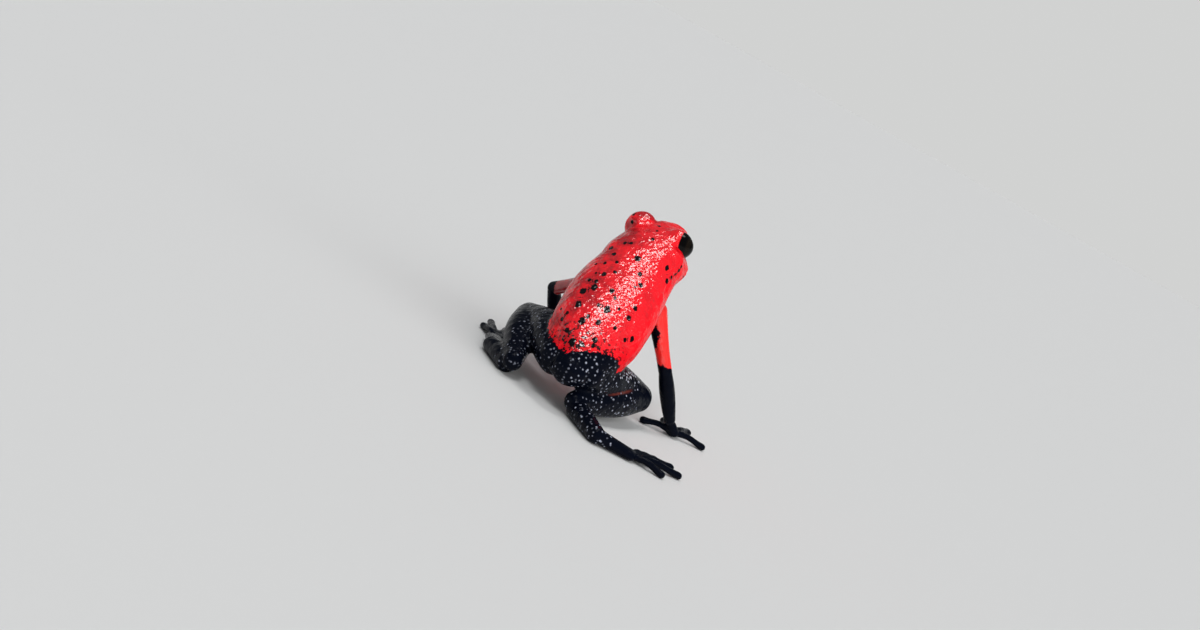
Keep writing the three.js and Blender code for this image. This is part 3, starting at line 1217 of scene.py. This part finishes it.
@dataclass
class Eye:
    """One eyeball with a low cornea."""

    head: Head
    side: Side
    cornea_rise: float = 0.07
    cornea_angle: float = 48.0

    def build(self) -> bpy.types.Object:
        """Makes the eyeball.

        Returns:
            Its object, at the origin, in metres.
        """
        centre, gaze = self.head.eye_centre(self.side), self.head.eye_gaze(self.side)
        turn = gaze.to_track_quat("Z", "Y").to_matrix().to_4x4()
        shell = bmesh.new()
        bmesh.ops.create_uvsphere(shell, u_segments=64, v_segments=48, radius=self.head.eye_radius)
        for vert in shell.verts:
            angle = math.degrees(vert.co.angle(Vector((0, 0, 1))))
            rise = math.cos(min(angle / self.cornea_angle, 1) * math.pi / 2) ** 2
            vert.co *= 1 + self.cornea_rise * rise / self.head.eye_radius
        bmesh.ops.transform(shell, matrix=Matrix.Translation(centre) @ turn, verts=shell.verts[:])
        mesh = bpy.data.meshes.new(f"eyeball_{self.side.label}")
        shell.to_mesh(mesh)
        shell.free()
        places = read_places(mesh)
        offset = places - np.array(centre)
        offset /= np.linalg.norm(offset, axis=1)[:, None]
        from_gaze = np.degrees(np.arccos(np.clip(offset @ np.array(gaze), -1, 1)))
        write_attribute(mesh, "from_gaze", from_gaze)
        write_places(mesh, (places - np.array(FOOTPRINT_CENTRE)) * MM)
        mesh.shade_smooth()
        return in_scene(f"eyeball_{self.side.label}", mesh)


# Finishes


class Nodes:
    """The nodes of one material or world."""

    def __init__(self, owner: bpy.types.Material | bpy.types.World) -> None:
        """Starts from an empty tree.

        Args:
            owner: the new material or world.
        """
        owner.use_nodes = True
        self.owner = owner
        self.tree = owner.node_tree
        self.tree.nodes.clear()

    def node(self, kind: str, settings: dict[str, Any] | None = None, inputs: dict[Any, Any] | None = None,
             output: int | str = 0) -> "Value":
        """Adds a node.

        Args:
            kind: the node's type.
            settings: its properties, set first; "stops" gives a ramp's positions and colours.
            inputs: values or links of its sockets, by name or number.
            output: which output to hand back.

        Returns:
            The output, ready for sums, or an empty value where the node has none.
        """
        node = self.tree.nodes.new(kind)
        for name, value in (settings or {}).items():
            if name == "stops":
                elements = node.color_ramp.elements
                while len(elements) < len(value):
                    elements.new(0.5)
                for element, (position, colour) in zip(elements, value):
                    element.position = position
                    element.color = (*colour, 1) if len(colour) == 3 else colour
            else:
                setattr(node, name, value)
        for key, value in (inputs or {}).items():
            if isinstance(value, Value):
                self.tree.links.new(value.socket, node.inputs[key])
            elif isinstance(value, tuple) and len(value) == 3 and node.inputs[key].type == "RGBA":
                node.inputs[key].default_value = (*value, 1)
            else:
                node.inputs[key].default_value = value
        return Value(self, node.outputs[output] if node.outputs else None)

    def attribute(self, name: str, vector: bool = False) -> "Value":
        """A vertex attribute's number or vector."""
        output = "Vector" if vector else "Fac"
        return self.node("ShaderNodeAttribute", {"attribute_name": name}, output=output)

    def millimetres(self) -> "Value":
        """Object coordinates in mm."""
        place = self.node("ShaderNodeTexCoord", output="Object")
        return self.node("ShaderNodeVectorMath", {"operation": "MULTIPLY"}, {0: place, 1: (1 / MM,) * 3})

    def noise(self, place: "Value", scale: float, detail: float = 2.0, roughness: float = 0.5) -> "Value":
        """Noise about nought, between -1 and 1."""
        made = self.node("ShaderNodeTexNoise", None,
                         {"Vector": place, "Scale": scale, "Detail": detail, "Roughness": roughness}, "Fac")
        return made * 2 - 1

    def cells(self, place: "Value", scale: float, smooth: float = 0.4) -> "Value":
        """Distance from the middle of rounded cells."""
        return self.node("ShaderNodeTexVoronoi", {"feature": "SMOOTH_F1"},
                         {"Vector": place, "Scale": scale, "Smoothness": smooth}, "Distance")

    def length(self, vector: "Value") -> "Value":
        """A vector's length."""
        return self.node("ShaderNodeVectorMath", {"operation": "LENGTH"}, {0: vector}, "Value")

    def step(self, value: "Value", low: float, high: float) -> "Value":
        """A smooth step from 0 at low to 1 at high."""
        return self.node("ShaderNodeMapRange", {"interpolation_type": "SMOOTHSTEP"},
                         {"Value": value, "From Min": low, "From Max": high})

    def mix(self, factor: "Value | float", first: Any, second: Any) -> "Value":
        """A blend of two colours."""
        return self.node("ShaderNodeMix", {"data_type": "RGBA"}, {"Factor": factor, 6: first, 7: second}, 2)

    def bump(self, height: "Value", distance: float, normal: "Value | None" = None) -> "Value":
        """A bumped normal.

        Args:
            height: the relief, between 0 and 1.
            distance: how high it stands, mm.
            normal: a bump that it adds to.

        Returns:
            The normal.
        """
        inputs = {"Height": height, "Distance": distance * MM, "Strength": 1.0}
        if normal:
            inputs["Normal"] = normal
        return self.node("ShaderNodeBump", None, inputs, "Normal")

    def surface(self, **inputs: Any) -> "Value":
        """A glossy surface.

        Args:
            **inputs: the surface's sockets, with underscores for spaces.

        Returns:
            The surface's shader.
        """
        named = {name.replace("_", " "): value for name, value in inputs.items()}
        return self.node("ShaderNodeBsdfPrincipled", None, named, "BSDF")

    def blend(self, factor: "Value", first: "Value", second: "Value") -> "Value":
        """A blend of two surfaces."""
        return self.node("ShaderNodeMixShader", None, {0: factor, 1: first, 2: second}, "Shader")

    def finish(self, surface: "Value") -> Any:
        """Ends the tree in a surface.

        Args:
            surface: the surface's or background's shader.

        Returns:
            The material or world.
        """
        kind = "World" if isinstance(self.owner, bpy.types.World) else "Material"
        self.node(f"ShaderNodeOutput{kind}", inputs={"Surface": surface})
        return self.owner


@dataclass(frozen=True)
class Value:
    """A socket that takes part in Python sums."""

    nodes: Nodes
    socket: bpy.types.NodeSocket | None

    def _math(self, operation: str, first: Any, second: Any = 0.0) -> "Value":
        """A Math node on two values."""
        return self.nodes.node("ShaderNodeMath", {"operation": operation}, {0: first, 1: second})

    def __add__(self, other: Any) -> "Value":
        """Sum."""
        return self._math("ADD", self, other)

    __radd__ = __add__

    def __sub__(self, other: Any) -> "Value":
        """Difference."""
        return self._math("SUBTRACT", self, other)

    def __rsub__(self, other: Any) -> "Value":
        """Difference from a number."""
        return self._math("SUBTRACT", other, self)

    def __mul__(self, other: Any) -> "Value":
        """Product."""
        return self._math("MULTIPLY", self, other)

    __rmul__ = __mul__

    def __or__(self, other: Any) -> "Value":
        """The larger of two values."""
        return self._math("MAXIMUM", self, other)


@dataclass(frozen=True)
class SkinFinish:
    """Wet scarlet skin with black spots, and blue-black limbs whose hind legs are granular."""

    scarlet: Triple = (0.85, 0.004, 0.012)
    flank: Triple = (0.92, 0.024, 0.020)
    # deep red: for blotches, and for painted shade on the left side and the left upper arm
    deep_red: Triple = (0.26, 0.002, 0.006)
    black: Triple = (0.002, 0.0015, 0.002)
    blue_black: Triple = (0.002, 0.003, 0.007)
    # pale granule colour, partly painted glint; the next is a brighter painted highlight for the right
    # thigh's upward-facing top
    speckle: Triple = (0.42, 0.45, 0.56)
    bright_speckle: Triple = (0.78, 0.80, 0.90)
    crease: Triple = (0.16, 0.03, 0.02)
    granule: float = 0.33
    granule_height: float = 0.10
    fold_height: float = 0.1
    pores_per_mm: float = 2.9
    pore_height: float = 0.06
    roughness: float = 0.17
    wet_ior: float = 1.9
    damp_ior: float = 1.13

    def build(self) -> bpy.types.Material:
        """Makes the material.

        Returns:
            The skin's material.
        """
        nodes = Nodes(bpy.data.materials.new("frog_skin"))
        place = nodes.millimetres()
        fine = nodes.noise(place, 7.0, 2.0)
        ragged = nodes.noise(place, 2.6, 3.0, 0.6)
        on_black = nodes.step(nodes.attribute("jeans") + ragged * 0.35 + fine * 0.1, -0.04, 0.05)
        bare = 1 - on_black
        spot = self._spot(nodes, place)
        granules, pale = self._granules(nodes, place)
        colour = nodes.mix(on_black, self._red(nodes, place, spot), self._blue_black(nodes, pale))

        folds = nodes.noise(place, 0.9, 2.0)
        pores = nodes.noise(place, self.pores_per_mm, 1.5, 0.5)
        back = nodes.attribute("back_height") + folds * 0.6
        normal = nodes.bump(folds, self.fold_height)
        normal = nodes.bump(pores * nodes.step(back, 0.3, 1.7) * bare, self.pore_height, normal)
        normal = nodes.bump(granules, self.granule_height, normal)
        rough = self.roughness + fine * 0.03 + on_black * 0.06
        wet, damp = (nodes.surface(Base_Color=colour, Roughness=rough, Normal=normal, IOR=ior)
                     for ior in (self.wet_ior, self.damp_ior))
        wet_arms = nodes.step(nodes.attribute("on_arm"), 0.0, 0.2) * 0.8
        wet_red = nodes.step(back, 0.7, 2.0) | wet_arms
        gloss = (wet_red * bare * (1 - spot * 0.6)) | pale
        return nodes.finish(nodes.blend(gloss, damp, wet))

    def _spot(self, nodes: Nodes, place: Value) -> Value:
        """Makes the black spots' ragged outlines.

        Args:
            nodes: the material's nodes.
            place: Object coordinates in mm.

        Returns:
            1 on a spot and 0 off it.
        """
        edge = nodes.length(nodes.attribute("spot_offset", vector=True)) + nodes.noise(place, 5.0, 1.0) * 0.5
        return nodes.step(edge, 1.08, 0.92) * nodes.step(nodes.attribute("spot_near"), 2.4, 1.8)

    def _red(self, nodes: Nodes, place: Value, spot: Value) -> Value:
        """Makes the scarlet: brighter on the flanks, deep red blotches deepened by painted shade toward the
        left side, painted shade on the left upper arm, and mottled black at the rear.

        Args:
            nodes: the material's nodes.
            place: Object coordinates in mm.
            spot: 1 on the black spots.

        Returns:
            The colour.
        """
        height = nodes.attribute("back_height")
        rear = nodes.step(nodes.attribute("ahead"), 6.0, 1.2) * nodes.step(height, -0.4, 0.8)
        mottle = nodes.step(nodes.noise(place, 3.2, 2.5, 0.6) + rear * 0.52, 0.56, 0.62) * rear
        # painted shade: the deep red blotches grow more and deeper toward the frog's left side
        leftward = nodes.step(nodes.attribute("leftward"), -0.8, 1.6)
        blotch_and_left_shade = nodes.step(nodes.noise(place, 0.8, 3.0) + leftward * 0.25, 0.02, 0.45)
        red = nodes.mix(nodes.step(height, 0.4, -1.8), self.scarlet, self.flank)
        red = nodes.mix(blotch_and_left_shade * (0.25 + leftward * 0.5), red, self.deep_red)
        # painted shade: the left upper arm darkened toward deep red
        red = nodes.mix(nodes.attribute("left_arm") * 0.85, red, self.deep_red)
        return nodes.mix(spot | mottle, red, self.black)

    def _granules(self, nodes: Nodes, place: Value) -> tuple[Value, Value]:
        """Makes the round granules of the hind legs.

        Args:
            nodes: the material's nodes.
            place: Object coordinates in mm.

        Returns:
            Their height, and how pale each one is, as a pale speckle that is partly painted glint.
        """
        dense = nodes.attribute("dense")
        bead = nodes.cells(place, 1 / self.granule)
        height = nodes.step(bead - dense * 0.06, 0.37, 0.12) * nodes.attribute("grain")
        # more pale speckles, partly painted glints, on the right thigh's upward-facing top
        chance = nodes.step(nodes.noise(place, 0.9 / self.granule, 1.0) + dense * 0.25, -0.4, 0.2)
        return height, height * chance

    def _blue_black(self, nodes: Nodes, pale: Value) -> Value:
        """Makes the blue-black with its pale granules, which are partly painted glints and brighter as a
        painted highlight on the right thigh's upward-facing top, and the reddish crease.

        Args:
            nodes: the material's nodes.
            pale: how pale each granule is, partly painted glint.

        Returns:
            The colour.
        """
        # painted highlight: brighter speckles on the right thigh's upward-facing top
        granule = nodes.mix(nodes.attribute("dense") * 0.6, self.speckle, self.bright_speckle)
        dark = nodes.mix(pale, self.blue_black, granule)
        return nodes.mix(nodes.attribute("crease") * 0.7, dark, self.crease)


@dataclass(frozen=True)
class EyeFinish:
    """A black eye under a clear wet cornea, with a faint bronze ring in the iris."""

    pupil: Triple = (0.002, 0.002, 0.002)
    bronze: Triple = (0.012, 0.008, 0.005)
    pupil_angle: float = 26.0
    iris_angles: tuple[float, float] = (54.0, 46.0)

    def build(self) -> bpy.types.Material:
        """Makes the material.

        Returns:
            The eyes' material.
        """
        nodes = Nodes(bpy.data.materials.new("wet_eye"))
        place = nodes.millimetres()
        angle = nodes.attribute("from_gaze")
        fleck = nodes.noise(place, 9.0, 3.0, 0.6)
        ring = nodes.step(angle + fleck * 2, self.pupil_angle, self.pupil_angle + 4)
        ring = ring * nodes.step(angle, *self.iris_angles)
        colour = nodes.mix(ring * (0.55 + fleck * 0.45), self.pupil, self.bronze)
        surface = nodes.surface(Base_Color=colour, Roughness=0.1 + fleck * 0.02, Coat_Weight=0.12,
                                Coat_Roughness=0.03, Normal=nodes.bump(fleck, 0.004), IOR=1.16)
        return nodes.finish(surface)


@dataclass(frozen=True)
class FloorFinish:
    """A plain pale floor."""

    pale: Triple = (0.62, 0.62, 0.615)

    def build(self) -> bpy.types.Material:
        """Makes the material.

        Returns:
            The floor's material.
        """
        nodes = Nodes(bpy.data.materials.new("pale_floor"))
        mild = nodes.noise(nodes.millimetres(), 0.05, 2.0)
        return nodes.finish(nodes.surface(Base_Color=self.pale, Roughness=0.75 + mild * 0.02))


# Studio


@dataclass(frozen=True)
class SoftLight:
    """An even light from far away, softened by its breadth in the sky."""

    name: str
    heading: Triple
    breadth: float
    strength: float
    glints: bool = False

    def build(self) -> None:
        """Hangs the light; its heading is the direction that it comes from."""
        data = bpy.data.lights.new(self.name, "SUN")
        data.angle, data.energy = math.radians(self.breadth), self.strength
        light = in_scene(self.name, data)
        toward = Vector(self.heading).normalized()
        light.location = toward
        light.visible_glossy = self.glints
        light.rotation_mode = "QUATERNION"
        light.rotation_quaternion = toward.to_track_quat("Z", "Y")


@dataclass
class Studio:
    """Floor, lights and pale surroundings that darken overhead."""

    floor_size: float = 60.0
    floor_drop: float = 0.00002
    horizon: Triple = (0.64, 0.645, 0.64)
    ceiling: Triple = (0.12, 0.13, 0.14)
    fade: tuple[float, float] = (0.16, 0.28)
    lights: Sequence[SoftLight] = field(default_factory=lambda: (
        SoftLight("overhead", (0.06, -0.17, 0.98), 19.0, 0.75, glints=True),
        SoftLight("overhead_rear", (0.14, 0.46, 0.88), 19.0, 0.95, glints=True),
        SoftLight("camera_side", (-0.95, 0.4, 0.4), 80.0, 2.9),
        SoftLight("behind", (0.25, -0.9, 0.5), 60.0, 0.4),
    ))

    def build(self) -> None:
        """Makes the floor, the lights and the world."""
        sheet = bmesh.new()
        bmesh.ops.create_grid(sheet, x_segments=2, y_segments=2, size=self.floor_size / 2)
        bmesh.ops.translate(sheet, vec=(0, 0, -self.floor_drop), verts=sheet.verts[:])
        mesh = bpy.data.meshes.new("floor")
        sheet.to_mesh(mesh)
        sheet.free()
        floor = in_scene("floor", mesh)
        mesh.materials.append(FloorFinish().build())
        for light in self.lights:
            light.build()
        self._surround()

    def _surround(self) -> None:
        """Makes the world: pale near the horizon and dim above."""
        nodes = Nodes(bpy.data.worlds.new("pale_room"))
        toward = nodes.node("ShaderNodeTexCoord", output="Generated")
        height = nodes.node("ShaderNodeSeparateXYZ", inputs={0: toward}, output="Z")
        stops = tuple(zip(self.fade, (self.horizon, self.ceiling)))
        shade = nodes.node("ShaderNodeValToRGB", {"stops": stops}, {0: height}, "Color")
        room = nodes.node("ShaderNodeBackground", inputs={"Color": shade})
        bpy.context.scene.world = nodes.finish(room)


# The whole frog


def make_arms(trunk: Trunk) -> dict[Side, Arm]:
    """Makes the two front limbs in their stance.

    Args:
        trunk: the trunk that they grow from.

    Returns:
        The limbs by side.
    """
    return {
        Side.RIGHT: Arm(
            Side.RIGHT, trunk, elbow=(-5.2, -10.7, 5.0), wrist=(-6.9, -12.9, 1.4), palm=(-7.3, -13.9, 0.45),
            fingers=((-5.1, -12.3), (-5.6, -16.4), (-7.5, -17.6), (-9.7, -15.9)),
        ),
        Side.LEFT: Arm(
            Side.LEFT, trunk, elbow=(7.4, -12.0, 5.6), wrist=(5.6, -13.8, 1.5), palm=(6.0, -14.6, 0.45),
            fingers=((4.0, -13.9), (4.8, -17.2), (6.7, -18.2), (8.7, -16.2)),
        ),
    }


def make_legs(trunk: Trunk) -> dict[Side, Leg]:
    """Makes the two folded hind limbs.

    Args:
        trunk: the trunk that they grow from.

    Returns:
        The limbs by side.
    """
    return {
        Side.RIGHT: Leg(
            Side.RIGHT, trunk,
            thigh_path=((-3.2, -6.4, 2.9), (-4.4, -10.1, 2.1)),
            shank_path=((-4.7, -9.3, 2.2), (-3.9, -5.0, 1.7), (-3.0, -0.7, 1.2)),
            heel=(-3.5, -0.6, 0.82), instep=(-6.7, 2.0, 0.65), ball=(-9.2, 0.2, 0.4),
            toes=((-9.3, -2.2), (-10.1, -3.2), (-11.3, -4.0), (-12.4, -3.2), (-11.9, -0.6)),
        ),
        Side.LEFT: Leg(
            Side.LEFT, trunk,
            thigh_path=((3.7, -5.3, 3.7), (6.7, -8.4, 3.1)),
            shank_path=((6.5, -7.6, 3.2), (4.8, -3.9, 2.4), (2.9, -0.2, 1.3)),
            heel=(3.4, -0.7, 0.82), instep=(6.3, -3.2, 0.65), ball=(7.6, -6.3, 0.4),
            toes=((6.9, -8.6), (7.9, -10.2), (9.2, -11.6), (10.6, -11.2), (10.0, -8.7)),
        ),
    }


def main() -> None:
    """Builds the frog, its studio and its camera, and reports each piece."""
    logging.basicConfig(level=logging.INFO, format="%(name)s: %(message)s")
    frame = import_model()
    camera = PhotoCamera()
    camera.build()
    trunk = Trunk()
    head = Head(trunk)
    skin = Skin(trunk, head, make_arms(trunk), make_legs(trunk), camera, Spots()).build()
    skin.data.materials.append(SkinFinish().build())
    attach(skin, "root")
    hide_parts(*[name for name in frame["nodes"] if not name.startswith("eye_")])
    log.info("skin: %d vertices", len(skin.data.vertices))
    wet_eye = EyeFinish().build()
    for side in Side:
        eye = Eye(head, side).build()
        eye.data.materials.append(wet_eye)
        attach(eye, "root")
        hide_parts(f"eye_{side.label}")
        log.info("eye: %s", eye.name)
    Studio().build()
    log.info("studio: floor, lights and pale surroundings")


if __name__ == "__main__":
    main()
